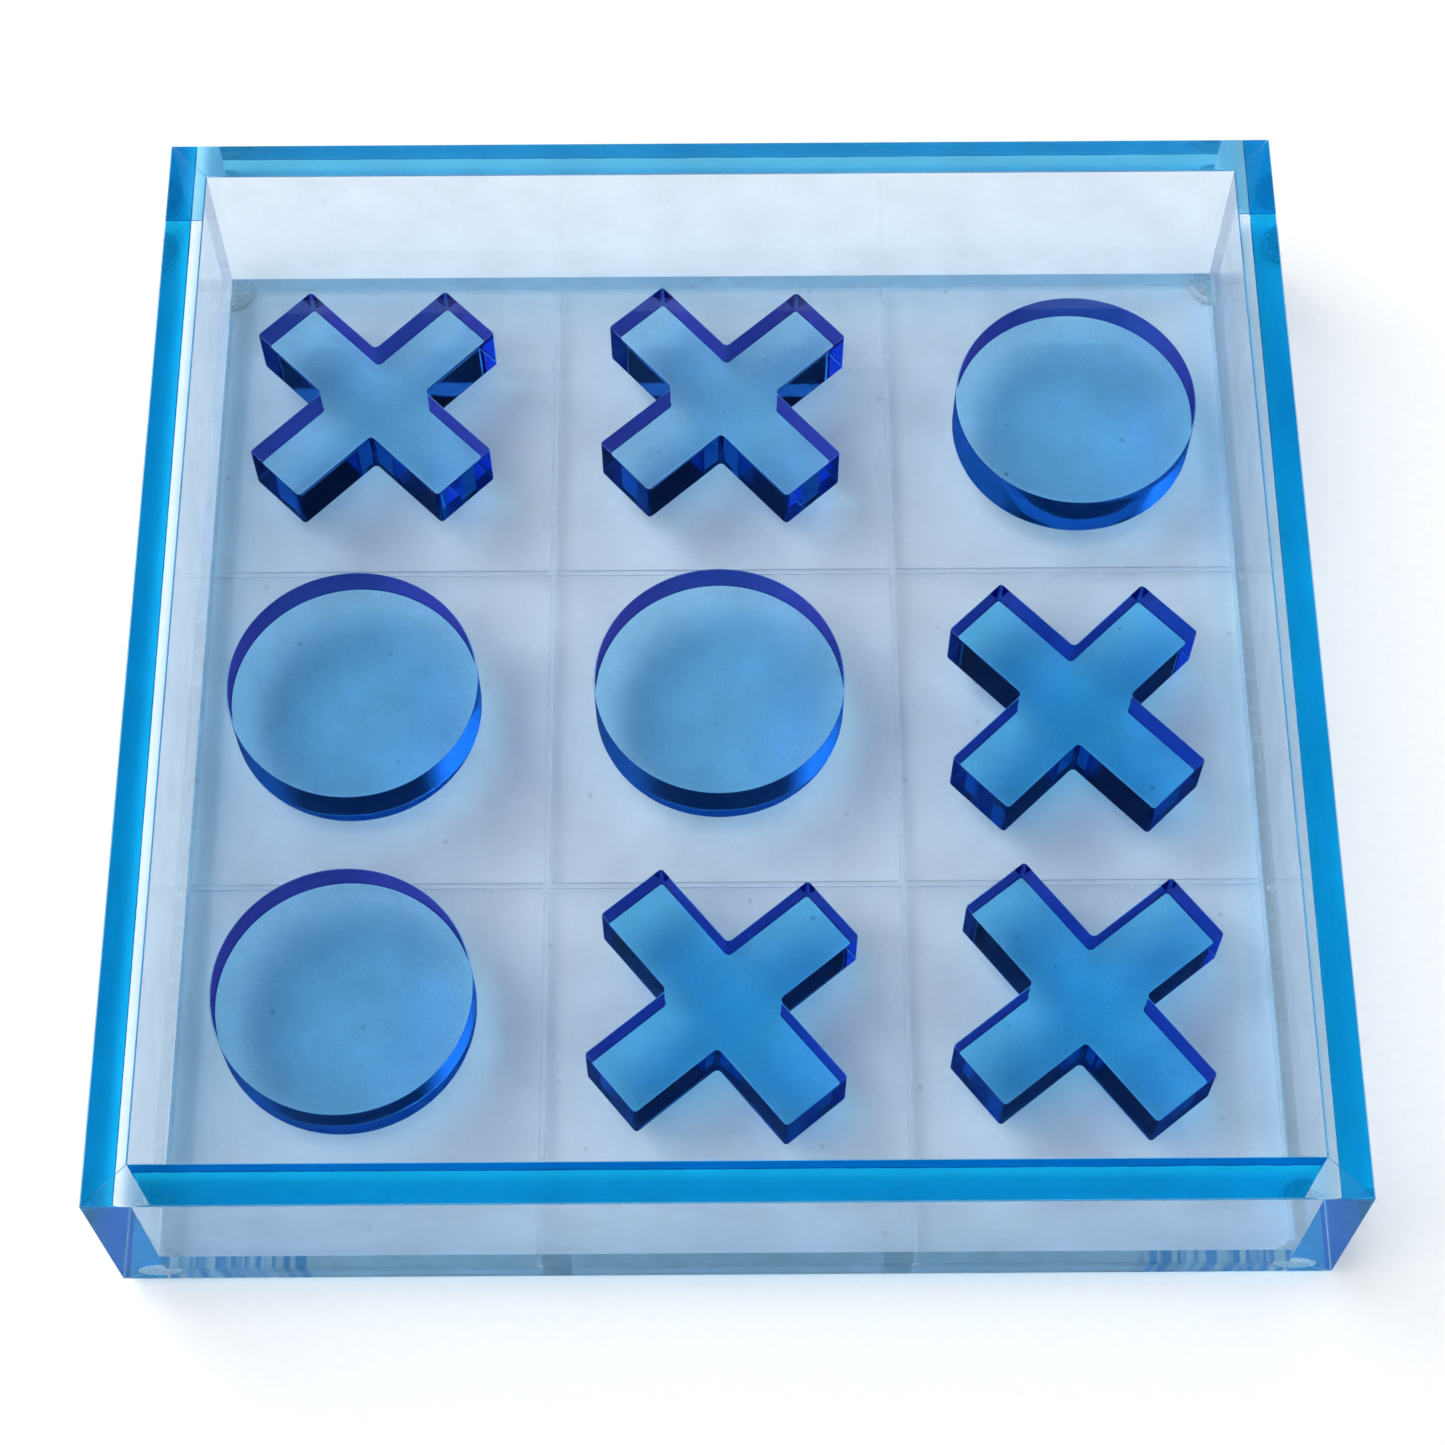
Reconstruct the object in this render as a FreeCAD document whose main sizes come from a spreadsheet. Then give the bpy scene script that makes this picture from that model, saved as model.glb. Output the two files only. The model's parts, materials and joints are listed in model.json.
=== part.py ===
"""Tic tac toe set: a clear tray engraved with a three by three grid, and nine loose markers.

Millimetres. +Z is up and +Y points to the rear of the tray. The origin is the centre of the
tray's plan, on the surface that the feet stand on.
"""
import FreeCAD, Part
import Sketcher
import math
import os

doc = FreeCAD.newDocument("TicTacToe")

# ------------------------------------------------------------------ driving dimensions

DIMENSIONS = (
    ("outer_side", 232, "outside of the square tray"),
    ("wall_height", 46, "walls, from the underside of the base plate to the rim"),
    ("wall_sheet", 8, "thickness of the wall sheet"),
    ("base_sheet", 8, "thickness of the base plate"),
    ("line_width", 1.2, "engraved grid line"),
    ("line_depth", 0.6, "engraved grid line"),
    ("edge_break", 0.3, "polished bevel on the exposed edges"),
    ("marker_sheet", 12, "thickness of the loose markers"),
    ("disc_diameter", 51, "O marker"),
    ("cross_length", 56.5, "X marker, from arm end to arm end"),
    ("cross_arm", 15.5, "X marker, width of an arm"),
    ("notch_radius", 2, "X marker, inside corners"),
    ("tip_radius", 0.8, "X marker, outside corners"),
    ("foot_diameter", 9.5, "bumper foot"),
    ("foot_height", 2.5, "bumper foot"),
    ("foot_round", 0.8, "lower edge of a bumper foot"),
    ("foot_inset", 7, "centre of a foot, in from each outer face"),
)

INNER_SIDE = "(Sizes.outer_side - 2 * Sizes.wall_sheet)"
CELL = "(" + INNER_SIDE + " / 3)"
FLOOR_LEVEL = "(Sizes.foot_height + Sizes.base_sheet)"

# Each wall is the front one turned about the tray's centre.
WALLS = (("wall_front", 0), ("wall_right", 90), ("wall_rear", 180), ("wall_left", 270))

# Feet: name, then which side of the centre they stand on, along X and Y.
FEET = (
    ("foot_front_left", -1, -1),
    ("foot_front_right", 1, -1),
    ("foot_rear_left", -1, 1),
    ("foot_rear_right", 1, 1),
)

# Markers: name, column and row of the cell from the middle one, then how the marker was put
# down in it: shift along X and Y from the cell's centre, and the turn of an X from upright.
MARKERS = (
    ("x_rear_left", -1, 1, -2.1, -0.9, 45.1),
    ("x_rear_centre", 0, 1, 0.4, -0.9, 41.8),
    ("o_rear_right", 1, 1, 3.1, -3.7, 0),
    ("o_middle_left", -1, 0, -3.4, 1.8, 0),
    ("o_middle_centre", 0, 0, -0.9, 2.2, 0),
    ("x_middle_right", 1, 0, -0.7, -1.8, 44.0),
    ("o_front_left", -1, -1, -2.5, 7.4, 0),
    ("x_front_centre", 0, -1, -0.6, 5.8, 39.4),
    ("x_front_right", 1, -1, -1.6, 6.4, 38.1),
)


def make_sheet():
    """One plain number to a row, with its alias beside it."""
    sheet = doc.addObject("Spreadsheet::Sheet", "Sizes")
    for row, (alias, value, meaning) in enumerate(DIMENSIONS, start=1):
        sheet.set("A%d" % row, alias)
        sheet.set("B%d" % row, str(value))
        sheet.set("C%d" % row, meaning)
        sheet.setAlias("B%d" % row, alias)
    doc.recompute()
    return sheet


# ------------------------------------------------------------------ helpers

def origin_feature(body, role):
    """Plane or axis of the body's own origin, such as XY_Plane or Z_Axis."""
    for feature in body.Origin.OriginFeatures:
        if feature.Role == role:
            return feature
    raise ValueError("the origin has no " + role)


def new_body(name):
    body = doc.addObject("PartDesign::Body", name)
    body.Label = name
    return body


def new_sketch(body, name):
    """Empty sketch on the body's XY plane."""
    sketch = body.newObject("Sketcher::SketchObject", name)
    sketch.AttachmentSupport = [(origin_feature(body, "XY_Plane"), "")]
    sketch.MapMode = "FlatFace"
    return sketch


def bind(sketch, name, expression, *constraint):
    """Dimension of a sketch that follows an expression of the sheet."""
    index = sketch.addConstraint(Sketcher.Constraint(*constraint))
    sketch.renameConstraint(index, name)
    sketch.setExpression("Constraints." + name, expression)


def closed_outline(sketch, corners):
    """Straight lines from corner to corner, joined end to start."""
    count = len(corners)
    for index, corner in enumerate(corners):
        following = corners[(index + 1) % count]
        line = Part.LineSegment(FreeCAD.Vector(*corner, 0), FreeCAD.Vector(*following, 0))
        sketch.addGeometry(line, False)
    for index in range(count):
        joint = Sketcher.Constraint("Coincident", index, 2, (index + 1) % count, 1)
        sketch.addConstraint(joint)


def rectangle(sketch, width, depth):
    """Upright rectangle about the sketch's origin, as wide and deep as two expressions say."""
    closed_outline(sketch, [(-9, -7), (9, -7), (9, 7), (-9, 7)])
    for side, direction in enumerate(("Horizontal", "Vertical", "Horizontal", "Vertical")):
        sketch.addConstraint(Sketcher.Constraint(direction, side))
    sketch.addConstraint(Sketcher.Constraint("Symmetric", 0, 1, 2, 1, -1, 1))
    bind(sketch, "width", width, "DistanceX", 0, 1, 0, 2, 18)
    bind(sketch, "depth", depth, "DistanceY", 1, 1, 1, 2, 14)


def pad(body, sketch, height):
    feature = body.newObject("PartDesign::Pad", "Pad")
    feature.Profile = sketch
    feature.setExpression("Length", height)
    doc.recompute()
    return feature


def pad_circle(body, diameter, height):
    sketch = new_sketch(body, "Round")
    circle = Part.Circle(FreeCAD.Vector(0, 0, 0), FreeCAD.Vector(0, 0, 1), 5)
    sketch.addGeometry(circle, False)
    sketch.addConstraint(Sketcher.Constraint("Coincident", 0, 3, -1, 1))
    bind(sketch, "diameter", diameter, "Diameter", 0, 10)
    return pad(body, sketch, height)


def edges_where(feature, wanted):
    """Names of the feature's edges that pass a test."""
    edges = enumerate(feature.Shape.Edges, start=1)
    return ["Edge%d" % number for number, edge in edges if wanted(edge)]


def faces_across_z(feature):
    """Names of the feature's flat faces that look straight up or down."""
    faces = enumerate(feature.Shape.Faces, start=1)
    return ["Face%d" % number for number, face in faces if abs(face.normalAt(0, 0).z) > 0.999]


def is_upright(edge):
    return edge.BoundBox.XLength + edge.BoundBox.YLength < 1e-6


def dress(body, kind, base, names, property_name, expression):
    """Fillet or Chamfer on the named edges or faces of the feature before it."""
    feature = body.newObject("PartDesign::" + kind, kind)
    feature.Base = (base, names)
    feature.setExpression(property_name, expression)
    doc.recompute()
    return feature


# ------------------------------------------------------------------ tray

def make_base_plate():
    """Square plate between the walls, with two grid lines each way engraved in its underside."""
    body = new_body("base_plate")
    outline = new_sketch(body, "Outline")
    rectangle(outline, INNER_SIDE, INNER_SIDE)
    plate = pad(body, outline, "Sizes.base_sheet")

    line = new_sketch(body, "GridLine")
    rectangle(line, "Sizes.line_width", INNER_SIDE)
    line.setExpression("AttachmentOffset.Base.x", CELL + " / 2")
    cut = body.newObject("PartDesign::Pocket", "Engraving")
    cut.Profile = line
    cut.Reversed = True
    cut.setExpression("Length", "Sizes.line_depth")
    doc.recompute()
    if cut.Shape.Volume >= plate.Shape.Volume:
        raise RuntimeError("the grid line cuts nothing")

    lines = body.newObject("PartDesign::PolarPattern", "GridLines")
    lines.Originals = [cut]
    lines.Axis = (origin_feature(body, "Z_Axis"), [""])
    lines.Angle = 360
    lines.Occurrences = 4
    body.Tip = lines
    doc.recompute()
    body.setExpression("Placement.Base.z", "Sizes.foot_height")
    return body


def make_wall(name, turn):
    """Strip of sheet on edge with mitred ends, drawn as the front wall and turned into place."""
    body = new_body(name)
    plan = new_sketch(body, "Plan")
    closed_outline(plan, [(-20, -20), (20, -20), (15, -15), (-15, -15)])
    plan.addConstraint(Sketcher.Constraint("Symmetric", 0, 1, 0, 2, -2))
    plan.addConstraint(Sketcher.Constraint("Symmetric", 2, 2, 2, 1, -2))
    bind(plan, "outer", "Sizes.outer_side", "DistanceX", 0, 1, 0, 2, 40)
    bind(plan, "inner", INNER_SIDE, "DistanceX", 2, 2, 2, 1, 30)
    bind(plan, "reach", "Sizes.outer_side / 2", "DistanceY", 0, 1, -1, 1, 20)
    bind(plan, "sheet", "Sizes.wall_sheet", "DistanceY", 0, 1, 2, 2, 5)
    strip = pad(body, plan, "Sizes.wall_height")

    top = strip.Shape.BoundBox.ZMax
    outside = strip.Shape.BoundBox.YMin

    def is_exposed(edge):
        """Both long edges of the rim, and the outer long edge at the bottom."""
        box = edge.BoundBox
        if box.YLength > 1e-6 or box.ZLength > 1e-6:
            return False
        return box.ZMin > top - 1e-6 or box.YMax < outside + 1e-6

    dress(body, "Chamfer", strip, edges_where(strip, is_exposed), "Size", "Sizes.edge_break")
    body.setExpression("Placement.Base.z", "Sizes.foot_height")
    body.Placement.Rotation = FreeCAD.Rotation(FreeCAD.Vector(0, 0, 1), turn)
    return body


def make_foot(name, side_x, side_y):
    """Round bumper under a corner, across the joint between the walls and the base plate."""
    body = new_body(name)
    button = pad_circle(body, "Sizes.foot_diameter", "Sizes.foot_height")

    def is_lower_rim(edge):
        return edge.BoundBox.ZMax < 1e-6

    dress(body, "Fillet", button, edges_where(button, is_lower_rim), "Radius", "Sizes.foot_round")
    reach = "(Sizes.outer_side / 2 - Sizes.foot_inset)"
    body.setExpression("Placement.Base.x", "%d * %s" % (side_x, reach))
    body.setExpression("Placement.Base.y", "%d * %s" % (side_y, reach))
    return body


# ------------------------------------------------------------------ markers

def make_disc(name):
    """O marker: a solid disc of thick sheet with both rims broken."""
    body = new_body(name)
    blank = pad_circle(body, "Sizes.disc_diameter", "Sizes.marker_sheet")
    dress(body, "Chamfer", blank, faces_across_z(blank), "Size", "Sizes.edge_break")
    return body


def make_cross(name):
    """X marker: two square-ended arms cut in one piece from thick sheet."""
    body = new_body(name)
    arm = new_sketch(body, "Arm")
    rectangle(arm, "Sizes.cross_length", "Sizes.cross_arm")
    bar = pad(body, arm, "Sizes.marker_sheet")

    arms = body.newObject("PartDesign::PolarPattern", "Arms")
    arms.Originals = [bar]
    arms.Axis = (origin_feature(body, "Z_Axis"), [""])
    arms.Angle = 90
    arms.Occurrences = 2
    body.Tip = arms
    doc.recompute()

    half_length = arms.Shape.BoundBox.XMax

    def is_tip(edge):
        """Upright edges at the ends of the arms."""
        return is_upright(edge) and math.hypot(*edge.CenterOfMass[:2]) > half_length

    def is_notch(edge):
        """Upright edges where two arms meet."""
        return is_upright(edge) and math.hypot(*edge.CenterOfMass[:2]) < half_length

    rounded = dress(body, "Fillet", arms, edges_where(arms, is_tip), "Radius", "Sizes.tip_radius")
    relieved = dress(
        body, "Fillet", rounded, edges_where(rounded, is_notch), "Radius", "Sizes.notch_radius"
    )
    dress(body, "Chamfer", relieved, faces_across_z(relieved), "Size", "Sizes.edge_break")
    return body


def place_marker(body, column, row, shift_x, shift_y, turn):
    """Stand the marker on the base plate, near the middle of its cell."""
    body.Placement.Rotation = FreeCAD.Rotation(FreeCAD.Vector(0, 0, 1), turn)
    body.setExpression("Placement.Base.x", "%d * %s + %g" % (column, CELL, shift_x))
    body.setExpression("Placement.Base.y", "%d * %s + %g" % (row, CELL, shift_y))
    body.setExpression("Placement.Base.z", FLOOR_LEVEL)


# ------------------------------------------------------------------ the whole set

def make_set():
    """Every separate piece, in the order it is listed above."""
    bodies = [make_base_plate()]
    for name, turn in WALLS:
        bodies.append(make_wall(name, turn))
    for name, side_x, side_y in FEET:
        bodies.append(make_foot(name, side_x, side_y))
    for name, column, row, shift_x, shift_y, turn in MARKERS:
        make_marker = make_cross if name.startswith("x_") else make_disc
        marker = make_marker(name)
        place_marker(marker, column, row, shift_x, shift_y, turn)
        bodies.append(marker)
    doc.recompute()
    return bodies


def check(bodies):
    """Stop if anything in the document failed or any piece is empty or broken."""
    for item in doc.Objects:
        if "Invalid" in item.State or "Error" in item.State:
            raise RuntimeError(item.Name + " failed: " + str(item.State))
        if item.TypeId == "Sketcher::SketchObject" and not item.FullyConstrained:
            raise RuntimeError(item.Name + " is not fully constrained")
    for body in bodies:
        if body.Shape.isNull() or not body.Shape.isValid() or len(body.Shape.Solids) != 1:
            raise RuntimeError(body.Label + " is not one valid solid")


def export(bodies):
    os.makedirs("parts", exist_ok=True)
    for body in bodies:
        body.Shape.exportStep("parts/" + body.Label + ".step")
        box = body.Shape.BoundBox
        print(
            "%-18s %10.1f mm3   x %7.2f %7.2f   y %7.2f %7.2f   z %6.2f %6.2f"
            % (body.Label, body.Shape.Volume, box.XMin, box.XMax, box.YMin, box.YMax, box.ZMin, box.ZMax)
        )


make_sheet()
pieces = make_set()
check(pieces)
export(pieces)
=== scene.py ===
import json
import math

import bpy
from mathutils import Euler, Matrix, Vector

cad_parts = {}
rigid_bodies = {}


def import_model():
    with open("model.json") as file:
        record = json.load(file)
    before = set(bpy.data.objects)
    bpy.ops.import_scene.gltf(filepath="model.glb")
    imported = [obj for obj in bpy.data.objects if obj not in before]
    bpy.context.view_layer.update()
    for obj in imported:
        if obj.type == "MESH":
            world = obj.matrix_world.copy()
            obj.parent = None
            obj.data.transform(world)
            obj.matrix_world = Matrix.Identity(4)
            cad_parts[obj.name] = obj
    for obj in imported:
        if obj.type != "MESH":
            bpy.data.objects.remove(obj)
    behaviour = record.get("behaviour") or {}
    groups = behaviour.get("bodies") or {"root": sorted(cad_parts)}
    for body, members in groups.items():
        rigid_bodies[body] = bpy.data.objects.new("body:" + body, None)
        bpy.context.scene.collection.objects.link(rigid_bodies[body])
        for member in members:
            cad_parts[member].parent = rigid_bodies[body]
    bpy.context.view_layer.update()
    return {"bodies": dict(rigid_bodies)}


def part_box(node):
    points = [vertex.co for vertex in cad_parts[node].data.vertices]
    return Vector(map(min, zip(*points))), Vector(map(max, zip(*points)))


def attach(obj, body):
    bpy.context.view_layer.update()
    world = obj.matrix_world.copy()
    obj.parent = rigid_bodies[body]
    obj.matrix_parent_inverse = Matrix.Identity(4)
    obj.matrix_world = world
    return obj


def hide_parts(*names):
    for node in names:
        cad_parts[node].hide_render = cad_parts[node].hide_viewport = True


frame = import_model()

# Metres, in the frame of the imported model: +Z is up, +Y points to the rear of the tray, and the
# origin is the centre of the tray's plan on the surface that the feet stand on.
MM = 0.001

# Each wall, by how many degrees it is turned from the front.
WALL_TURNS = {"wall_front": 0, "wall_right": 90, "wall_rear": 180, "wall_left": 270}
FEET = ("foot_front_left", "foot_front_right", "foot_rear_left", "foot_rear_right")
MARKERS = [name for name in frame["bodies"] if name[:2] in ("x_", "o_")]
# The markers that take a darker copy of the marker tint, as painted shade: those towards the right and
# front, further from the light on the left.
SHADED_MARKERS = ("x_middle_right", "x_front_centre", "x_front_right")
# Each cross, by how many degrees it is turned from one whose arms lie along x and y.
CROSS_TURNS = {
    "x_rear_left": 45.1,
    "x_rear_centre": 41.8,
    "x_middle_right": 44.0,
    "x_front_centre": 39.4,
    "x_front_right": 38.1,
}

# Shapes.
EDGE_RADIUS = 0.3 * MM
EDGE_STEPS = 4
MITRE_ARRIS = 0.12 * MM
AIR_GAP = 0.05 * MM
LINE_WIDTH = 1.2 * MM
LINE_DEPTH = 0.6 * MM
LINE_STRIPS = (1, 3)
CROSS_LENGTH = 56.5 * MM
CROSS_ARM = 15.5 * MM
NOTCH_RADIUS = 1.0 * MM
TIP_RADIUS = 0.8 * MM
BEND_STEPS = 8
DISC_STEPS = 192
FOOT_STEPS = 64
FOOT_EDGE_RADIUS = 0.8 * MM

# Tints: what is left of the light that crosses a skin, or that a skin mirrors. A mirroring gives the
# tint against how far the light grazes the skin from inside, from 0 head on to 1 along it.
ACRYLIC_IOR = 1.49
SKIN_TINT = (0.845, 0.905, 0.955)
WALL_MIRRORING = ((0.28, SKIN_TINT), (0.60, (0.42, 0.80, 0.92)), (0.79, (0.01, 0.50, 0.82)))
CUT_TINT = (0.94, 0.965, 0.99)
BASE_TINT = (0.86, 0.907, 0.95)
BASE_CLEAR = (0.94, 0.96, 0.98)
BASE_MIRRORING = ((0.24, BASE_TINT), (0.30, BASE_CLEAR), (0.70, BASE_CLEAR), (0.86, (0.01, 0.48, 0.81)))
MARKER_TINT = (0.75, 0.925, 1.0)
# A darker copy of the marker tint for the markers further from the light: painted shade.
SHADED_MARKER_TINT = (0.50, 0.86, 0.99)
MARKER_ABSORPTION = (8, 2, 0.2)
MARKER_HAZE_TINT = (0.4, 0.85, 1.0)
# The marker edges' tint: their own deep blue for light crossing them, and painted shade for what they
# mirror from inside, which darkens to indigo as it grazes them.
EDGE_TINT_AND_PAINTED_SHADE = ((0.25, (0.13, 0.34, 0.66)), (0.42, (0.09, 0.23, 0.56)), (0.75, (0.14, 0.09, 0.42)))
FROST_TINT = (0.9, 0.92, 0.95)

# Shares from 0 to 1: of the light that a matt surface scatters, and of the glare that is missing.
SAWN_SHARE = 0.3
MARKER_HAZE = 0.12
LINE_FROST = 0.3
LINE_SIDE_FROST = 0.5
GLARE_CUT = 0.75

# Glue. A cloudiness is the share of the light that the glue scatters, and OTHER_JOINTS scales it for
# the base plate's joints beside and behind.
MITRE_HAZE = 0.02
JOINT_HAZE = 0.48
OTHER_JOINTS = 0.35
JOINT_TINT = (0.66, 0.93, 1.0)
GLUE_RUN_SIZES = (6 * MM, 6 * MM, 12 * MM)
GLUE_RUN_SPREAD = 0.15
PATCH_WIDTH = 6 * MM
PATCH_BORDER = 0.5 * MM
PATCH_CLOUDINESS = 0.8
# Painted reflections: blue streaks in the glue under the front wall near the corners, standing in for the
# light that the sheets mirror back and forth there.
PAINTED_STREAKS_REACH = 30 * MM
PAINTED_STREAKS_BORDER = 3 * MM
PAINTED_STREAKS_TINT = (0.06, 0.56, 0.90)
PAINTED_STREAKS_CLOUDINESS = 0.6
PAINTED_STREAK_WIDTH = 2.2 * MM
PAINTED_STREAK_LEAN = 1.7

# Fine detail: sizes of patches along x, y and z, and heights of reliefs.
CLOUD_SIZES = (14 * MM, 14 * MM, 14 * MM)
CLOUD_SPREAD = 0.03
GRAIN_SIZES = (0.5 * MM, 0.5 * MM, 0.5 * MM)
GRAIN_SPREAD = 0.02
SHEET_WAVE_SIZES = (12 * MM, 12 * MM, 12 * MM)
SHEET_WAVE_HEIGHT = 0.004 * MM
MARKER_WAVE_SIZES = (10 * MM, 10 * MM, 10 * MM)
MARKER_WAVE_HEIGHT = 0.005 * MM
SAW_MARK_SIZES = (0.9 * MM, 0.9 * MM, 25 * MM)
SAW_MARK_HEIGHT = 0.01 * MM
DUST_SPACING = 13 * MM
DUST_RADIUS = 0.7 * MM
DUST_SHADE = 0.86

# Stage.
FLOOR_REACH = 20
SOFTBOX_TOWARDS = (-0.55, 0.12, 0.83)
CEILING_TOWARDS = (-0.02, 0.36, 0.93)
WORLD_FILL = 0.78
WORLD_KEY = 3.8
LAMP_PLACE = (-0.6, 0.45, 0.5)
LAMP_SIZE = 0.5
LAMP_POWER = 0.8
CAMERA_PLACE = (-0.72 * MM, -284.36 * MM, 588.72 * MM)
CAMERA_TURN = (26.041, 0.126, -0.341)
CAMERA_LENS = 77.93
CAMERA_SENSOR = 36


# ---------------------------------------------------------------- mesh helpers


def new_piece(name, points, normals, faces, materials, body, node, flat_faces=(), joints=()):
    """A closed mesh whose faces shade with the normals given for their points, but flat_faces shade
    flat. Each of joints is the faces that take the next material after the first."""
    mesh = bpy.data.meshes.new(name)
    mesh.from_pydata([tuple(point) for point in points], [], faces)
    for material in materials:
        mesh.materials.append(material)
    slots = {face: slot for slot, faces_there in enumerate(joints, 1) for face in faces_there}
    flat = set(flat_faces)
    loop_normals = []
    for polygon in mesh.polygons:
        polygon.use_smooth = True
        polygon.material_index = slots.get(polygon.index, 0)
        is_flat = polygon.index in flat
        for corner in polygon.vertices:
            loop_normals.append(tuple(polygon.normal if is_flat else normals[corner]))
    mesh.normals_split_custom_set(loop_normals)
    piece = bpy.data.objects.new(name, mesh)
    bpy.context.scene.collection.objects.link(piece)
    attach(piece, body)
    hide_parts(node)
    return piece


def round_corner(centre, radius, start):
    """Points and outward normals round a quarter turn that begins at the angle start."""
    corner = []
    for step in range(EDGE_STEPS + 1):
        angle = math.radians(start + 90 * step / EDGE_STEPS)
        normal = Vector((math.cos(angle), math.sin(angle)))
        corner.append((Vector(centre) + radius * normal, normal))
    return corner


def edge_rings(floor, top, radius):
    """The rings of a solid with rounded edges, from below: each one's inset, level and tilt."""
    rings = []
    for step in range(EDGE_STEPS + 1):
        tilt = math.radians(-90 + 90 * step / EDGE_STEPS)
        rings.append((radius * (1 - math.cos(tilt)), floor + radius * (1 + math.sin(tilt)), tilt))
    for step in range(EDGE_STEPS + 1):
        tilt = math.radians(90 * step / EDGE_STEPS)
        rings.append((radius * (1 - math.cos(tilt)), top - radius * (1 - math.sin(tilt)), tilt))
    return rings


def stacked_rings(outline, floor, top, radius):
    """A solid with the outline (points with outward normals) between two levels, edges rounded."""
    rings = edge_rings(floor, top, radius)
    points = []
    normals = []
    for inset, level, tilt in rings:
        for point, normal in outline:
            place = point - inset * normal
            outward = math.cos(tilt) * normal
            points.append(Vector((place.x, place.y, level)))
            normals.append(Vector((outward.x, outward.y, math.sin(tilt))))
    count = len(outline)
    faces = [list(range(count))[::-1]]
    for ring in range(len(rings) - 1):
        for here in range(count):
            after = (here + 1) % count
            low = ring * count
            high = low + count
            faces.append([low + here, low + after, high + after, high + here])
    faces.append(list(range(len(points) - count, len(points))))
    return points, normals, faces


# ---------------------------------------------------------------- pieces


def wall_profile():
    """The front wall's section in (y, z), anticlockwise from its inner bottom corner: points, normals,
    and how many points at the start are on its joint with the base plate."""
    low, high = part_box("wall_front")
    base_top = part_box("base_plate")[1][2]
    inward = Vector((1, 0))
    glued = [(Vector((high[1], low[2])), inward), (Vector((high[1], base_top)), inward)]
    near, far = high[1] - EDGE_RADIUS, low[1] + EDGE_RADIUS
    bottom, top = low[2] + EDGE_RADIUS, high[2] - EDGE_RADIUS
    free = round_corner((near, top), EDGE_RADIUS, 0)
    free += round_corner((far, top), EDGE_RADIUS, 90)
    free += round_corner((far, bottom), EDGE_RADIUS, 180)
    return glued + free, len(glued)


def make_wall(node, turn, materials):
    """One side of the tray: a bar with rounded edges and mitred ends, with a fine groove along the
    mitre where the two bars' arrises meet. Its faces take the materials of the skin, the mitres and
    the joint with the base plate."""
    profile, glued_count = wall_profile()
    rotation = Matrix.Rotation(math.radians(turn), 3, "Z")
    points = []
    normals = []
    for end, arris in ((-1, 0), (-1, MITRE_ARRIS), (1, MITRE_ARRIS), (1, 0)):
        for index, (rim, normal) in enumerate(profile):
            on_groove = arris == 0 and index >= glued_count
            place = rim - MITRE_ARRIS * normal if on_groove else rim
            points.append(rotation @ Vector((end * (-place.x - arris), place.x, place.y)))
            normals.append(rotation @ Vector((0, normal.x, normal.y)))
    count = len(profile)
    faces = [list(range(count))[::-1], list(range(3 * count, 4 * count))]
    mitres = (0, 1)
    flat_faces = [*mitres]
    base_joint = []
    for ring in range(3):
        for here in range(count):
            after = (here + 1) % count
            low = ring * count
            high = low + count
            if here == 0:
                base_joint.append(len(faces))
            if ring != 1 or here == count - 1 or here < glued_count:
                flat_faces.append(len(faces))
            faces.append([low + here, low + after, high + after, high + here])
    joints = (mitres, base_joint)
    return new_piece(node + "_acrylic", points, normals, faces, materials, "tray", node, flat_faces, joints)


def plate_cuts(reach):
    """Where the plate is divided along x and along y: at its edges and on both sides of each line."""
    cuts = [-reach]
    for line in (-reach / 3, reach / 3):
        cuts += [line - LINE_WIDTH / 2, line + LINE_WIDTH / 2]
    cuts.append(reach)
    return cuts


def underside(column, row):
    """The level of the plate's underside in this strip of x and of y: raised in the grid's lines."""
    return 1 if column in LINE_STRIPS or row in LINE_STRIPS else 0


def make_base_plate(materials):
    """The floor of the tray, with the four lines of the grid cut into its underside. Its faces take the
    materials of the skin and of the joint with the walls."""
    low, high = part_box("base_plate")
    cuts = plate_cuts(high[0])
    last = len(cuts) - 1
    levels = (low[2], low[2] + LINE_DEPTH, high[2])
    numbers = {}
    points = []
    faces = []
    glued_faces = []
    frost = {}

    def corner(column, row, level):
        key = (column, row, level)
        if key not in numbers:
            numbers[key] = len(points)
            points.append(Vector((cuts[column], cuts[row], levels[level])))
        return numbers[key]

    for column in range(last):
        for row in range(last):
            square = ((column, row), (column + 1, row), (column + 1, row + 1), (column, row + 1))
            beside = ((column, row - 1), (column + 1, row), (column, row + 1), (column - 1, row))
            under = underside(column, row)
            if under:
                frost[len(faces)] = LINE_FROST
            faces.append([corner(*place, under) for place in square][::-1])
            faces.append([corner(*place, 2) for place in square])
            for edge, neighbour in enumerate(beside):
                outside = not all(0 <= strip < last for strip in neighbour)
                if outside:
                    bands = [(1, 2)] if under else [(0, 1), (1, 2)]
                elif underside(*neighbour) > under:
                    bands = [(0, 1)]
                else:
                    bands = []
                start = square[edge]
                end = square[(edge + 1) % 4]
                for bottom, top in bands:
                    if outside:
                        glued_faces.append(len(faces))
                    else:
                        frost[len(faces)] = LINE_SIDE_FROST
                    ring = ((start, bottom), (end, bottom), (end, top), (start, top))
                    faces.append([corner(*place, level) for place, level in ring])
    normals = [Vector((0, 0, 1))] * len(points)
    flat_faces = range(len(faces))
    joints = (glued_faces,)
    name = "base_plate_acrylic"
    plate = new_piece(name, points, normals, faces, materials, "tray", "base_plate", flat_faces, joints)
    frosted = plate.data.attributes.new("frosted", "FLOAT", "FACE")
    for face, share in frost.items():
        frosted.data[face].value = share
    return plate


def circle_outline(centre, radius, count):
    outline = []
    for step in range(count):
        angle = 2 * math.pi * step / count
        normal = Vector((math.cos(angle), math.sin(angle)))
        outline.append((centre + radius * normal, normal))
    return outline


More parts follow.
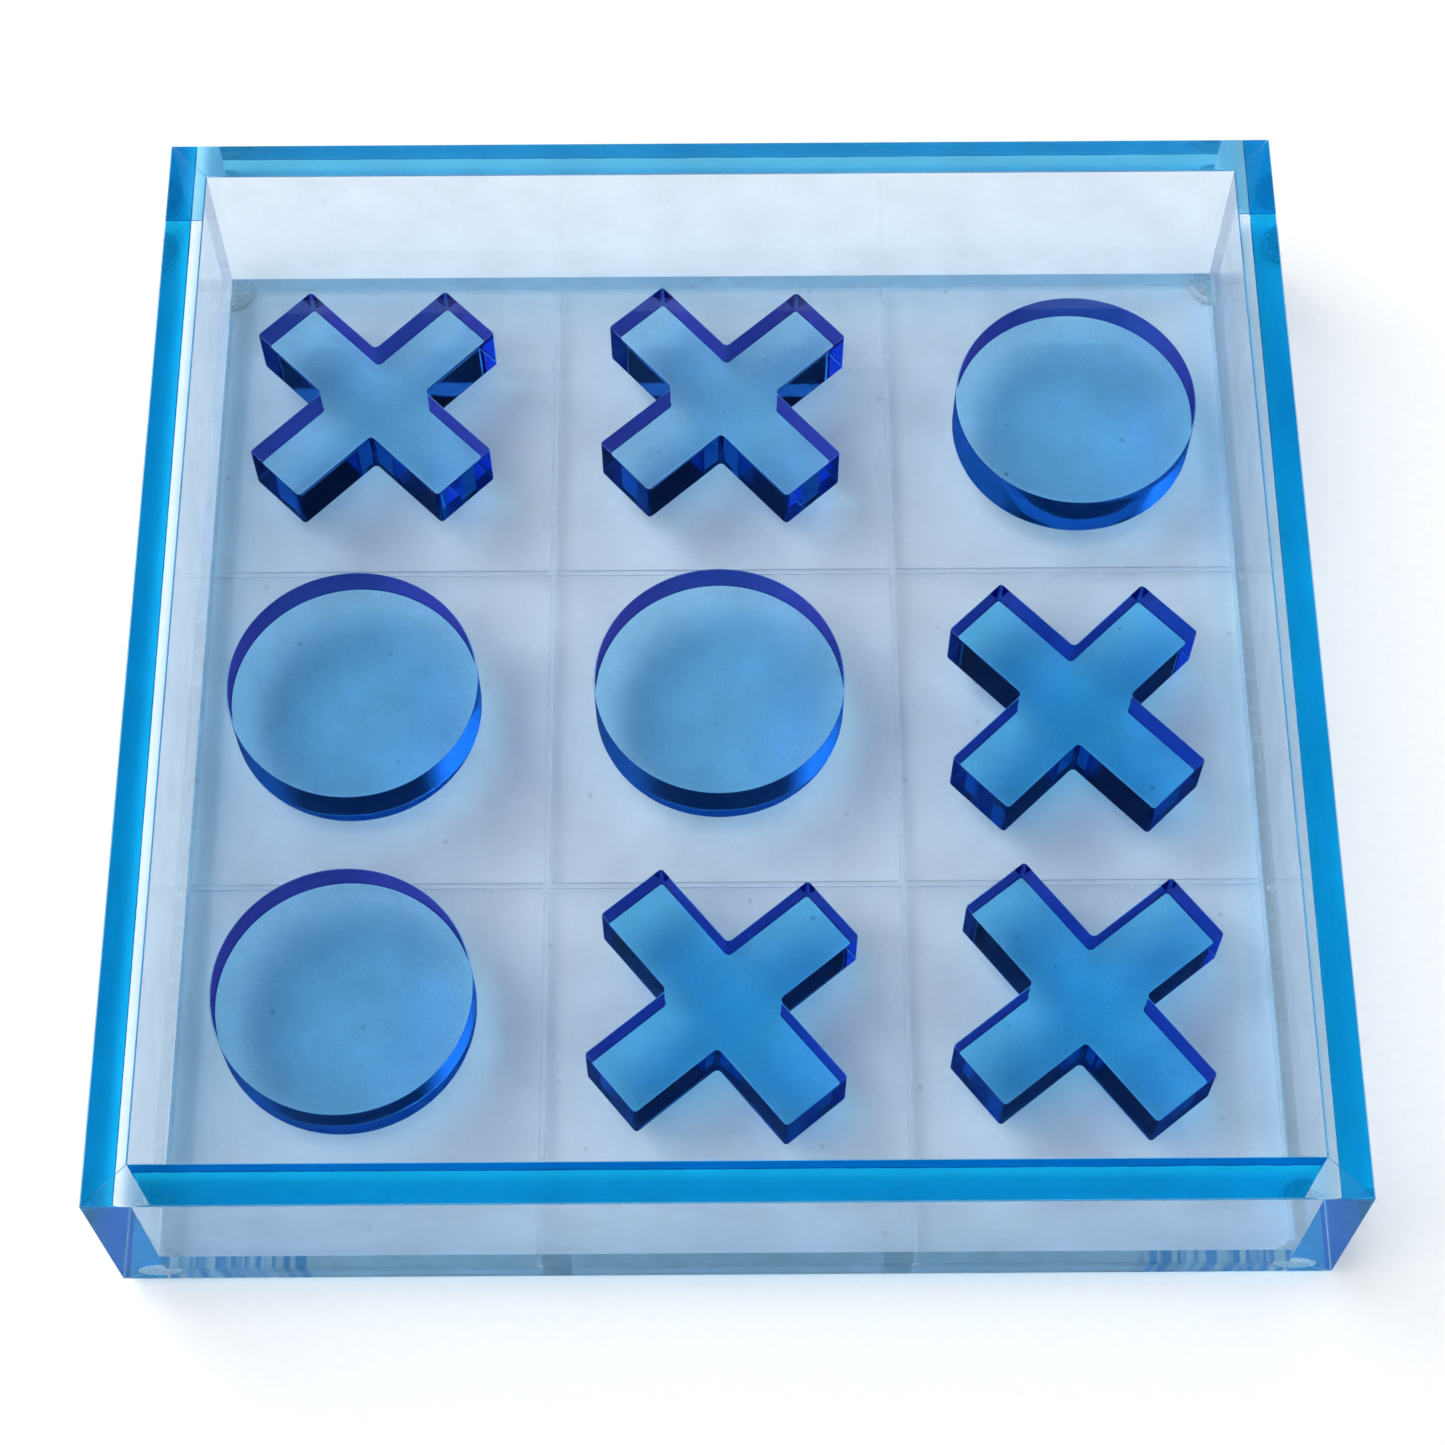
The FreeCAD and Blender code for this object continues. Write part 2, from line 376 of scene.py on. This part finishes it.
def cross_outline(centre, turn):
    """Twelve rounded corners: two tips on each arm and the notch between it and the next arm."""
    half = CROSS_LENGTH / 2
    arm = CROSS_ARM / 2
    tip = half - TIP_RADIUS
    side = arm - TIP_RADIUS
    notch = arm + NOTCH_RADIUS
    bends = (
        (Vector((tip, -side)), TIP_RADIUS, -90, 0),
        (Vector((tip, side)), TIP_RADIUS, 0, 90),
        (Vector((notch, notch)), -NOTCH_RADIUS, 90, 0),
    )
    outline = []
    for quarter in range(4):
        rotation = Matrix.Rotation(math.radians(turn + 90 * quarter), 2)
        for middle, radius, start, end in bends:
            for step in range(BEND_STEPS + 1):
                angle = math.radians(start + (end - start) * step / BEND_STEPS)
                normal = Vector((math.cos(angle), math.sin(angle)))
                place = middle + radius * normal
                outline.append((centre + rotation @ place, rotation @ normal))
    return outline


def make_marker(node, material):
    """A cross or a disc, a hair's breadth above the base plate that it stands on."""
    low, high = (Vector(corner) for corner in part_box(node))
    centre = ((low + high) / 2).to_2d()
    if node in CROSS_TURNS:
        outline = cross_outline(centre, CROSS_TURNS[node])
    else:
        outline = circle_outline(centre, (high.x - low.x) / 2, DISC_STEPS)
    points, normals, faces = stacked_rings(outline, low.z + AIR_GAP, high.z, EDGE_RADIUS)
    return new_piece(node + "_acrylic", points, normals, faces, [material], node, node)


def make_foot(node, material):
    """A round bumper, stuck so close to the base plate that it reaches a hair's breadth into it."""
    low, high = (Vector(corner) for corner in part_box(node))
    centre = ((low + high) / 2).to_2d()
    outline = circle_outline(centre, (high.x - low.x) / 2, FOOT_STEPS)
    points, normals, faces = stacked_rings(outline, low.z, high.z + AIR_GAP, FOOT_EDGE_RADIUS)
    return new_piece(node + "_bumper", points, normals, faces, [material], "tray", node)


# ---------------------------------------------------------------- nodes for materials


def new_material(name):
    material = bpy.data.materials.new(name)
    material.use_nodes = True
    return material, material.node_tree.nodes, material.node_tree.links


def scaled(nodes, links, value, start, end, low, high):
    """The value moved from the range start to end into the range low to high, and kept in it."""
    ramp = nodes.new("ShaderNodeMapRange")
    ramp.inputs["From Min"].default_value = start
    ramp.inputs["From Max"].default_value = end
    ramp.inputs["To Min"].default_value = low
    ramp.inputs["To Max"].default_value = high
    links.new(value, ramp.inputs["Value"])
    return ramp.outputs["Result"]


def reckoned(nodes, links, operation, *values):
    """The result of a Math node's operation on the values."""
    node = nodes.new("ShaderNodeMath")
    node.operation = operation
    for value, socket in zip(values, node.inputs):
        links.new(value, socket)
    return node.outputs["Value"]


def object_place(nodes, links, sizes):
    """Where a point is on its piece, in steps of the given sizes along x, y and z."""
    steps = nodes.new("ShaderNodeVectorMath")
    steps.operation = "DIVIDE"
    steps.inputs[1].default_value = sizes
    links.new(nodes.new("ShaderNodeTexCoord").outputs["Object"], steps.inputs[0])
    return steps.outputs["Vector"]


def mottling(nodes, links, sizes, low, high):
    """Soft random patches of about the given sizes, as a value from low to high."""
    noise = nodes.new("ShaderNodeTexNoise")
    noise.inputs["Scale"].default_value = 1.0
    noise.inputs["Detail"].default_value = 3.0
    links.new(object_place(nodes, links, sizes), noise.inputs["Vector"])
    return scaled(nodes, links, noise.outputs["Fac"], 0.3, 0.7, low, high)


def dust(nodes, links):
    """Sparse specks of dust: DUST_SHADE on a speck, and 1 between them."""
    cells = nodes.new("ShaderNodeTexVoronoi")
    cells.inputs["Scale"].default_value = 1.0
    spacings = (DUST_SPACING, DUST_SPACING, DUST_SPACING)
    links.new(object_place(nodes, links, spacings), cells.inputs["Vector"])
    reach = DUST_RADIUS / DUST_SPACING
    return scaled(nodes, links, cells.outputs["Distance"], 0.5 * reach, reach, DUST_SHADE, 1)


def shaded(nodes, links, colour, *values):
    """The colour, multiplied by each of the values."""
    for value in values:
        product = nodes.new("ShaderNodeVectorMath")
        product.operation = "SCALE"
        links.new(colour, product.inputs[0])
        links.new(value, product.inputs["Scale"])
        colour = product.outputs["Vector"]
    return colour


def uneven(nodes, links, colour, *values):
    """The colour, a little uneven, and multiplied by the values."""
    base = nodes.new("ShaderNodeRGB")
    base.outputs[0].default_value = (*colour, 1)
    return shaded(nodes, links, base.outputs[0], *values)


def fine_grain(nodes, links):
    """The faint unevenness of a dyed sheet: broad clouds and a fine grain."""
    clouds = mottling(nodes, links, CLOUD_SIZES, 1 - CLOUD_SPREAD, 1 + CLOUD_SPREAD)
    grain = mottling(nodes, links, GRAIN_SIZES, 1 - GRAIN_SPREAD, 1 + GRAIN_SPREAD)
    return clouds, grain


def relief(nodes, links, sizes, height):
    """A normal for a surface with a relief of patches of about the given sizes and height."""
    bump = nodes.new("ShaderNodeBump")
    bump.inputs["Strength"].default_value = 1.0
    bump.inputs["Distance"].default_value = height
    links.new(mottling(nodes, links, sizes, 0, 1), bump.inputs["Height"])
    return bump.outputs["Normal"]


def blended_colour(nodes, links, weight, first, second):
    blend = nodes.new("ShaderNodeMix")
    blend.data_type = "RGBA"
    blend.inputs["A"].default_value = (*first, 1)
    blend.inputs["B"].default_value = (*second, 1)
    links.new(weight, blend.inputs["Factor"])
    return blend.outputs["Result"]


def blended_shader(nodes, links, weight, first, second):
    blend = nodes.new("ShaderNodeMixShader")
    links.new(weight, blend.inputs[0])
    links.new(first.outputs[0], blend.inputs[1])
    links.new(second.outputs[0], blend.inputs[2])
    return blend


def plain_shader(nodes, kind, tint):
    """A Diffuse, Translucent or Transparent shader in one tint."""
    shader = nodes.new("ShaderNodeBsdf" + kind)
    shader.inputs["Color"].default_value = (*tint, 1)
    return shader


def finish_surface(nodes, links, shader):
    links.new(shader.outputs[0], nodes["Material Output"].inputs["Surface"])


def upward(nodes, links):
    """How far a surface looks up: 1 on level tops, 0 on upright faces and -1 on undersides."""
    direction = nodes.new("ShaderNodeSeparateXYZ")
    links.new(nodes.new("ShaderNodeTexCoord").outputs["Normal"], direction.inputs[0])
    return direction.outputs["Z"]


def lying_flat(nodes, links):
    """1 on the faces that look up or down, and 0 on the upright ones."""
    level = reckoned(nodes, links, "ABSOLUTE", upward(nodes, links))
    return scaled(nodes, links, level, 0.5, 0.85, 0, 1)


def looking_down(nodes, links, share):
    """The share on the faces that look down, and 0 on the others."""
    return scaled(nodes, links, upward(nodes, links), -0.85, -0.95, 0, share)


def skin_tint(nodes, links, mirroring):
    """The skin's tint: that of light crossing it from outside, or the one that mirroring gives for
    light that grazes it from inside the sheet."""
    grazing = nodes.new("ShaderNodeLayerWeight")
    grazing.inputs["Blend"].default_value = 0.5
    inside = nodes.new("ShaderNodeNewGeometry").outputs["Backfacing"]
    ramp = nodes.new("ShaderNodeValToRGB")
    stops = ramp.color_ramp.elements
    while len(stops) < len(mirroring):
        stops.new(0.5)
    for stop, (place, tint) in zip(stops, mirroring):
        stop.position = place
        stop.color = (*tint, 1)
    grazing_inside = reckoned(nodes, links, "MULTIPLY", grazing.outputs["Facing"], inside)
    links.new(grazing_inside, ramp.inputs["Fac"])
    return ramp.outputs["Color"]


def acrylic_shader(nodes, links, kind, colour, normal):
    """A smooth Glass or Refraction shader in the colour."""
    shader = nodes.new("ShaderNodeBsdf" + kind)
    shader.inputs["Roughness"].default_value = 0.0
    shader.inputs["IOR"].default_value = ACRYLIC_IOR
    links.new(colour, shader.inputs["Color"])
    links.new(normal, shader.inputs["Normal"])
    return shader


def low_glare(nodes, links, colour, normal):
    """Glass in the colour, whose outer skin mirrors the room less than bare acrylic does."""
    glass = acrylic_shader(nodes, links, "Glass", colour, normal)
    through = acrylic_shader(nodes, links, "Refraction", colour, normal)
    inside = nodes.new("ShaderNodeNewGeometry").outputs["Backfacing"]
    return blended_shader(nodes, links, scaled(nodes, links, inside, 0, 1, GLARE_CUT, 0), glass, through)


# ---------------------------------------------------------------- materials


def wall_acrylic(name):
    """Dyed sheet: the colour is in its skin, so it deepens where the skin mirrors along the sheet.
    The cut edges above and below are clear, and the lower one is matt from the saw."""
    material, nodes, links = new_material(name)
    grain = fine_grain(nodes, links)
    waves = relief(nodes, links, SHEET_WAVE_SIZES, SHEET_WAVE_HEIGHT)
    dye = shaded(nodes, links, skin_tint(nodes, links, WALL_MIRRORING), *grain)
    skin = low_glare(nodes, links, dye, waves)
    cut = low_glare(nodes, links, uneven(nodes, links, CUT_TINT, *grain), waves)
    sawn = plain_shader(nodes, "Translucent", CUT_TINT)
    edges = blended_shader(nodes, links, looking_down(nodes, links, SAWN_SHARE), cut, sawn)
    finish_surface(nodes, links, blended_shader(nodes, links, lying_flat(nodes, links), skin, edges))
    return material


def base_acrylic(name):
    """As the walls, with frosted lines: their faces carry the attribute frosted."""
    material, nodes, links = new_material(name)
    grain = fine_grain(nodes, links)
    waves = relief(nodes, links, SHEET_WAVE_SIZES, SHEET_WAVE_HEIGHT)
    tint = skin_tint(nodes, links, BASE_MIRRORING)
    dye = shaded(nodes, links, tint, *grain, dust(nodes, links))
    glass = acrylic_shader(nodes, links, "Glass", dye, waves)
    frost = plain_shader(nodes, "Diffuse", FROST_TINT)
    frosted = nodes.new("ShaderNodeAttribute")
    frosted.attribute_name = "frosted"
    finish_surface(nodes, links, blended_shader(nodes, links, frosted.outputs["Fac"], glass, frost))
    return material


def marker_acrylic(name, tint):
    """Light faces above and below, and deep blue cut edges with the fine upright marks of a polished saw
    cut.
    The edges' tint is partly their own deep blue and partly painted shade: what they mirror from inside
    darkens to indigo as it grazes them."""
    material, nodes, links = new_material(name)
    dye = uneven(nodes, links, tint, *fine_grain(nodes, links), dust(nodes, links))
    waves = relief(nodes, links, MARKER_WAVE_SIZES, MARKER_WAVE_HEIGHT)
    face = acrylic_shader(nodes, links, "Glass", dye, waves)
    marks = relief(nodes, links, SAW_MARK_SIZES, SAW_MARK_HEIGHT)
    # Deep blue edges whose tint darkens what they mirror from inside: painted shade.
    edge = low_glare(nodes, links, skin_tint(nodes, links, EDGE_TINT_AND_PAINTED_SHADE), marks)
    haze = plain_shader(nodes, "Diffuse", MARKER_HAZE_TINT)
    faces = blended_shader(nodes, links, looking_down(nodes, links, MARKER_HAZE), face, haze)
    finish_surface(nodes, links, blended_shader(nodes, links, lying_flat(nodes, links), edge, faces))
    set_absorption(nodes, links, MARKER_ABSORPTION)
    return material


def set_absorption(nodes, links, absorbed):
    """Tinted clear sheet: absorbed is how much red, green and blue light a metre takes out."""
    density = max(absorbed)
    absorption = nodes.new("ShaderNodeVolumeAbsorption")
    absorption.inputs["Color"].default_value = (*(1 - part / density for part in absorbed), 1)
    absorption.inputs["Density"].default_value = density
    links.new(absorption.outputs["Volume"], nodes["Material Output"].inputs["Volume"])


def glue_runs(nodes, links, cloudiness):
    """The cloudiness, a little uneven along a joint."""
    thin = cloudiness * (1 - GLUE_RUN_SPREAD)
    thick = cloudiness * (1 + GLUE_RUN_SPREAD)
    return mottling(nodes, links, GLUE_RUN_SIZES, thin, thick)


def fill_joint(nodes, links, cloudiness):
    """Glue that light crosses straight, but for the share that its cloudiness scatters. The shader of
    that share is returned for its colour."""
    clear = plain_shader(nodes, "Transparent", (1, 1, 1))
    cloud = plain_shader(nodes, "Diffuse", JOINT_TINT)
    finish_surface(nodes, links, blended_shader(nodes, links, cloudiness, clear, cloud))
    return cloud


def mitre_glue(name):
    material, nodes, links = new_material(name)
    fill_joint(nodes, links, glue_runs(nodes, links, MITRE_HAZE))
    return material


def painted_reflection_streaks(nodes, links, across, up):
    """The painted reflections' pattern: streaks that stand side by side along x and lean outwards a little,
    as a value from 0 to 1.
    """
    lean = nodes.new("ShaderNodeMath")
    lean.operation = "MULTIPLY_ADD"
    lean.inputs[1].default_value = PAINTED_STREAK_LEAN
    lean.inputs[2].default_value = 1.0
    links.new(up, lean.inputs[0])
    noise = nodes.new("ShaderNodeTexNoise")
    noise.noise_dimensions = "1D"
    noise.inputs["Scale"].default_value = 1 / PAINTED_STREAK_WIDTH
    links.new(reckoned(nodes, links, "MULTIPLY", across, lean.outputs["Value"]), noise.inputs["W"])
    return scaled(nodes, links, noise.outputs["Fac"], 0.45, 0.55, 0, 1)


def base_glue_and_painted_reflections(name):
    """The glue round the base plate, with painted reflections. Under the front wall near the tray's
    corners it carries blue streaks, a painted reflection of the light that the sheets mirror back and
    forth there, and the glue has run out of the grid's lines in a patch beside each."""
    material, nodes, links = new_material(name)
    place = nodes.new("ShaderNodeSeparateXYZ")
    links.new(nodes.new("ShaderNodeTexCoord").outputs["Object"], place.inputs[0])
    x, y, z = place.outputs
    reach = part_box("base_plate")[1][0]
    along = reckoned(nodes, links, "ABSOLUTE", x)
    in_front = scaled(nodes, links, y, 0.5 * MM - reach, 0.2 * MM - reach, 0, 1)

    # Blue streaks near the corners under the front wall: painted reflections.
    streaks_start = reach - PAINTED_STREAKS_REACH
    corner = scaled(nodes, links, along, streaks_start, streaks_start + PAINTED_STREAKS_BORDER, 0, 1)
    near_corner = reckoned(nodes, links, "MULTIPLY", corner, in_front)
    streaks_cloud = scaled(nodes, links, near_corner, 0, 1, 0, PAINTED_STREAKS_CLOUDINESS)
    streaks = painted_reflection_streaks(nodes, links, x, z)
    blue = reckoned(nodes, links, "MULTIPLY", streaks, near_corner)

    patch_end = reach / 3 - PATCH_BORDER
    patch_start = patch_end - PATCH_WIDTH
    inner = scaled(nodes, links, along, patch_start, patch_start + PATCH_BORDER, 0, PATCH_CLOUDINESS)
    outer = scaled(nodes, links, along, patch_end, patch_end + PATCH_BORDER, 1, 0)
    beside_line = reckoned(nodes, links, "MULTIPLY", inner, outer)
    patch = reckoned(nodes, links, "MULTIPLY", beside_line, in_front)

    fullness = scaled(nodes, links, in_front, 0, 1, OTHER_JOINTS, 1)
    runs = reckoned(nodes, links, "MULTIPLY", glue_runs(nodes, links, JOINT_HAZE), fullness)
    thickest = reckoned(nodes, links, "MAXIMUM", patch, streaks_cloud)
    cloud = fill_joint(nodes, links, reckoned(nodes, links, "MAXIMUM", runs, thickest))
    # The glue turns blue in the streaks: painted reflections.
    links.new(blended_colour(nodes, links, blue, JOINT_TINT, PAINTED_STREAKS_TINT), cloud.inputs["Color"])
    return material


def bumper(name):
    """Clear soft rubber, a little cloudy and not quite smooth."""
    material, nodes, links = new_material(name)
    shader = nodes["Principled BSDF"]
    cloudy = mottling(nodes, links, (3 * MM, 3 * MM, 3 * MM), 0, 1)
    gloss = mottling(nodes, links, (0.8 * MM, 0.8 * MM, 0.8 * MM), 0.15, 0.35)
    dimples = relief(nodes, links, (0.6 * MM, 0.6 * MM, 0.6 * MM), 0.003 * MM)
    tint = blended_colour(nodes, links, cloudy, (0.95, 0.975, 0.99), (1, 1, 1))
    links.new(tint, shader.inputs["Base Color"])
    links.new(gloss, shader.inputs["Roughness"])
    links.new(dimples, shader.inputs["Normal"])
    shader.inputs["IOR"].default_value = 1.41
    shader.inputs["Transmission Weight"].default_value = 0.3
    return material


def floor_paper(name):
    """Matt white paper with a faint fibre."""
    material, nodes, links = new_material(name)
    shader = nodes["Principled BSDF"]
    fibre = mottling(nodes, links, (2 * MM, 2 * MM, 2 * MM), 0, 1)
    tooth = relief(nodes, links, (1 * MM, 1 * MM, 1 * MM), 0.02 * MM)
    white = blended_colour(nodes, links, fibre, (0.85, 0.85, 0.85), (0.87, 0.87, 0.87))
    links.new(white, shader.inputs["Base Color"])
    links.new(tooth, shader.inputs["Normal"])
    shader.inputs["Roughness"].default_value = 0.9
    return material


# ---------------------------------------------------------------- stage, light and camera


def make_floor():
    mesh = bpy.data.meshes.new("studio_floor")
    corners = [(x * FLOOR_REACH, y * FLOOR_REACH, 0) for x, y in ((-1, -1), (1, -1), (1, 1), (-1, 1))]
    mesh.from_pydata(corners, [], [(0, 1, 2, 3)])
    mesh.materials.append(floor_paper("studio_paper"))
    floor = bpy.data.objects.new("studio_floor", mesh)
    bpy.context.scene.collection.objects.link(floor)


def make_lamp():
    data = bpy.data.lights.new("key", "AREA")
    data.size = LAMP_SIZE
    data.energy = LAMP_POWER
    lamp = bpy.data.objects.new("key", data)
    lamp.location = LAMP_PLACE
    lamp.rotation_euler = (-Vector(LAMP_PLACE)).to_track_quat("-Z", "Y").to_euler()
    bpy.context.scene.collection.objects.link(lamp)


def lobe(nodes, links, direction, towards, start, full, low, high):
    """A value that goes from low to high as a direction comes nearer to the one given in towards: low
    where the cosine between them is start, high where it is full."""
    dot = nodes.new("ShaderNodeVectorMath")
    dot.operation = "DOT_PRODUCT"
    dot.inputs[1].default_value = Vector(towards).normalized()
    links.new(direction, dot.inputs[0])
    value = scaled(nodes, links, dot.outputs["Value"], start, full, low, high)
    value.node.interpolation_type = "SMOOTHSTEP"
    return value


def make_world():
    """Soft white light from all round, strongest from the left, with a dark ceiling where a level
    surface would mirror it into the camera."""
    world = bpy.data.worlds.new("studio")
    world.use_nodes = True
    nodes = world.node_tree.nodes
    links = world.node_tree.links
    direction = nodes.new("ShaderNodeTexCoord").outputs["Generated"]
    softbox = lobe(nodes, links, direction, SOFTBOX_TOWARDS, 0.75, 0.96, WORLD_FILL, WORLD_KEY)
    ceiling = lobe(nodes, links, direction, CEILING_TOWARDS, 0.91, 0.97, 1.0, 0.0)
    background = nodes["Background"]
    background.inputs["Color"].default_value = (1, 1, 1, 1)
    links.new(reckoned(nodes, links, "MULTIPLY", softbox, ceiling), background.inputs["Strength"])
    bpy.context.scene.world = world


def make_camera():
    data = bpy.data.cameras.new("photo_view")
    data.sensor_width = CAMERA_SENSOR
    data.lens = CAMERA_LENS
    camera = bpy.data.objects.new("photo_view", data)
    camera.location = CAMERA_PLACE
    camera.rotation_euler = Euler([math.radians(angle) for angle in CAMERA_TURN], "XYZ")
    bpy.context.scene.collection.objects.link(camera)
    bpy.context.scene.camera = camera


def set_light_paths():
    """Enough bounces for light that zigzags along a sheet, and no blur that would lose it."""
    scene = bpy.context.scene
    scene.cycles.max_bounces = 32
    scene.cycles.transmission_bounces = 24
    scene.cycles.glossy_bounces = 24
    scene.cycles.blur_glossy = 0
    scene.view_settings.view_transform = "Standard"


wall_sheet = wall_acrylic("tray_acrylic")
base_sheet = base_acrylic("base_acrylic")
marker_sheet = marker_acrylic("marker_acrylic", MARKER_TINT)
# A darker copy of the marker acrylic, which paints shade on the markers further from the light.
shaded_marker_sheet = marker_acrylic("marker_acrylic_painted_shade", SHADED_MARKER_TINT)
mitre = mitre_glue("mitre_glue")
seam = base_glue_and_painted_reflections("base_glue_and_painted_reflections")
rubber = bumper("clear_bumper")
for wall, wall_turn in WALL_TURNS.items():
    make_wall(wall, wall_turn, [wall_sheet, mitre, seam])
make_base_plate([base_sheet, seam])
# The markers further from the light take the darker copy: painted shade.
for marker in MARKERS:
    make_marker(marker, shaded_marker_sheet if marker in SHADED_MARKERS else marker_sheet)
for foot in FEET:
    make_foot(foot, rubber)
make_floor()
make_world()
make_lamp()
make_camera()
set_light_paths()
